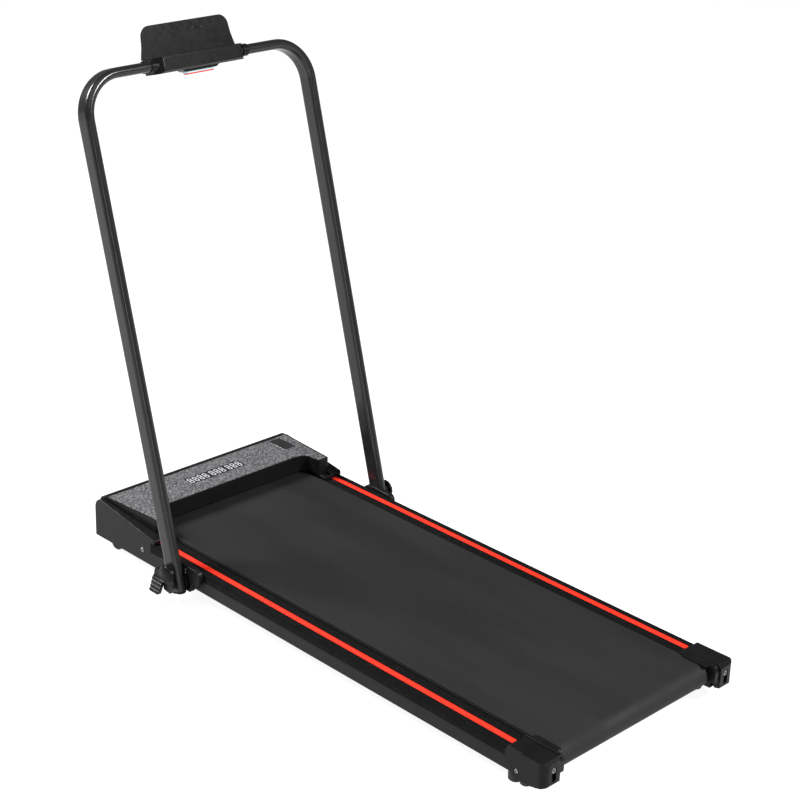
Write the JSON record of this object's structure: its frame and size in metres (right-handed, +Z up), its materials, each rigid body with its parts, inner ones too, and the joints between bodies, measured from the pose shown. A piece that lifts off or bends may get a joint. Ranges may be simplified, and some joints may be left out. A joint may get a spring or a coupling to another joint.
{
  "type": "walking treadmill",
  "caption": "Low flat motorised walking treadmill with a front motor hood, end caps, transport wheels and a U-shaped fold-down handrail carrying a phone holder and safety key.",
  "frame": {"origin": "on the floor, under the middle of the machine's overall box", "axes": "+Z up, +Y towards the motor hood, which is the way the user faces, +X to the user's right"},
  "size_m": [0.622, 1.253, 1.0617],
  "materials": {
    "frame_paint": "satin black paint on steel",
    "tube_paint": "satin dark grey powder coat",
    "black_plastic": "fine grained black moulded plastic",
    "rail_plastic": "ribbed black rail cover",
    "red_trim": "satin red",
    "belt_rubber": "fine textured charcoal walking belt",
    "black_rubber": "matt black rubber",
    "deck_wood": "board with a black resin-coated face",
    "speckled_panel": "grey granite speckle",
    "dark_window": "smoked window",
    "circuit_board": "green circuit board",
    "bare_steel": "zinc plated steel",
    "bright_steel": "bright bolts",
    "light_digits": "lit white display digits",
    "key_pale": "pale bevelled band on the safety key"
  },
  "bodies": {
    "base": {"frame_rail_left": "frame_paint", "frame_rail_right": "frame_paint", "cross_member_rear": "frame_paint", "cross_member_middle": "frame_paint", "cross_member_front": "frame_paint", "deck_board": "deck_wood", "deck_cushion_left": "black_rubber", "deck_cushion_right": "black_rubber", "rail_cover_left": "rail_plastic", "rail_cover_right": "rail_plastic", "trim_strip_left": "red_trim", "trim_strip_right": "red_trim", "walking_belt": "belt_rubber", "front_axle": "bare_steel", "drive_belt": "black_rubber", "motor_housing": "frame_paint", "motor_saddle": "bare_steel", "control_box": "bare_steel", "hood_shell": "black_plastic", "hood_panel": "speckled_panel", "display_window": "dark_window", "sensor_window": "dark_window", "display_board": "circuit_board", "power_inlet": "black_plastic", "front_cover_left": "black_plastic", "front_cover_right": "black_plastic", "belly_pan": "frame_paint", "wheel_bolt_left": "bright_steel", "wheel_bolt_right": "bright_steel", "end_cap_left": "black_plastic", "end_cap_right": "black_plastic", "rear_foot_left": "black_rubber", "rear_foot_right": "black_rubber", "handrail_bracket_left": "frame_paint", "handrail_bracket_right": "frame_paint", "pivot_bolt_left": "bright_steel", "pivot_bolt_right": "bright_steel"},
    "handrail": {"handrail_tube": "tube_paint", "leg_plug_left": "black_plastic", "leg_plug_right": "black_plastic", "holder_tray": "black_plastic", "holder_back_plate": "black_plastic", "holder_clamp": "black_plastic"},
    "lock_knob_left": {"lock_knob_left": "black_plastic"},
    "lock_knob_right": {"lock_knob_right": "black_plastic"},
    "safety_key": {"safety_key": "red_trim"},
    "front_roller": {"front_roller": "bare_steel", "roller_pulley": "bare_steel"},
    "rear_carriage": {"rear_axle": "bare_steel", "axle_carrier_left": "frame_paint", "axle_carrier_right": "frame_paint"},
    "rear_roller": {"rear_roller": "bare_steel"},
    "motor_rotor": {"motor_shaft": "bright_steel", "motor_pulley": "bare_steel"},
    "front_wheel_left": {"front_wheel_left": "black_rubber"},
    "front_wheel_right": {"front_wheel_right": "black_rubber"},
    "tension_bolt_left": {"tension_bolt_left": "bright_steel"},
    "tension_bolt_right": {"tension_bolt_right": "bright_steel"},
    "power_switch": {"power_switch": "black_plastic"}
  },
  "joints": [
    {"name": "handrail_fold", "type": "hinge", "parent": "base", "child": "handrail", "pos_m": [0, 0.3265, 0.037], "axis": [1, 0, 0], "range_deg": [0, 105.34]},
    {"name": "lock_knob_turn_right", "type": "hinge", "parent": "handrail", "child": "lock_knob_right", "pos_m": [0.29, 0.33259, 0.05918], "axis": [1, 0, 0], "range_deg": [0, 720]},
    {"name": "lock_knob_turn_left", "type": "hinge", "parent": "handrail", "child": "lock_knob_left", "pos_m": [-0.29, 0.33259, 0.05918], "axis": [-1, 0, 0], "range_deg": [0, 720]},
    {"name": "safety_key_pull", "type": "slide", "parent": "handrail", "child": "safety_key", "axis": [0, -0.2645, -0.9644], "range_m": [0, 0.012]},
    {"name": "front_roller_spin", "type": "hinge", "parent": "base", "child": "front_roller", "pos_m": [0, 0.5165, 0.052], "axis": [1, 0, 0], "continuous": true},
    {"name": "rear_carriage_slide", "type": "slide", "parent": "base", "child": "rear_carriage", "axis": [0, 1, 0], "range_m": [0, 0.006]},
    {"name": "rear_roller_spin", "type": "hinge", "parent": "rear_carriage", "child": "rear_roller", "pos_m": [0, -0.5875, 0.052], "axis": [1, 0, 0], "continuous": true},
    {"name": "motor_spin", "type": "hinge", "parent": "base", "child": "motor_rotor", "pos_m": [0.19, 0.58, 0.062], "axis": [1, 0, 0], "continuous": true},
    {"name": "front_wheel_spin_left", "type": "hinge", "parent": "base", "child": "front_wheel_left", "pos_m": [-0.227, 0.5785, 0.018], "axis": [1, 0, 0], "continuous": true},
    {"name": "front_wheel_spin_right", "type": "hinge", "parent": "base", "child": "front_wheel_right", "pos_m": [0.227, 0.5785, 0.018], "axis": [1, 0, 0], "continuous": true},
    {"name": "tension_bolt_turn_left", "type": "hinge", "parent": "base", "child": "tension_bolt_left", "pos_m": [-0.232, -0.61, 0.058], "axis": [0, -1, 0], "range_deg": [0, 2160]},
    {"name": "tension_bolt_turn_right", "type": "hinge", "parent": "base", "child": "tension_bolt_right", "pos_m": [0.232, -0.61, 0.058], "axis": [0, -1, 0], "range_deg": [0, 2160]},
    {"name": "power_switch_rock", "type": "hinge", "parent": "base", "child": "power_switch", "pos_m": [-0.178, 0.618, 0.06], "axis": [1, 0, 0], "range_deg": [0, 16]}
  ],
  "couplings": [
    {"joint": "rear_roller_spin", "follows": "front_roller_spin", "ratio": 1},
    {"joint": "motor_spin", "follows": "front_roller_spin", "ratio": 2.6667},
    {"joint": "tension_bolt_turn_left", "follows": "rear_carriage_slide", "rad_per_m": 6283.2},
    {"joint": "tension_bolt_turn_right", "follows": "rear_carriage_slide", "rad_per_m": 6283.2}
  ]
}
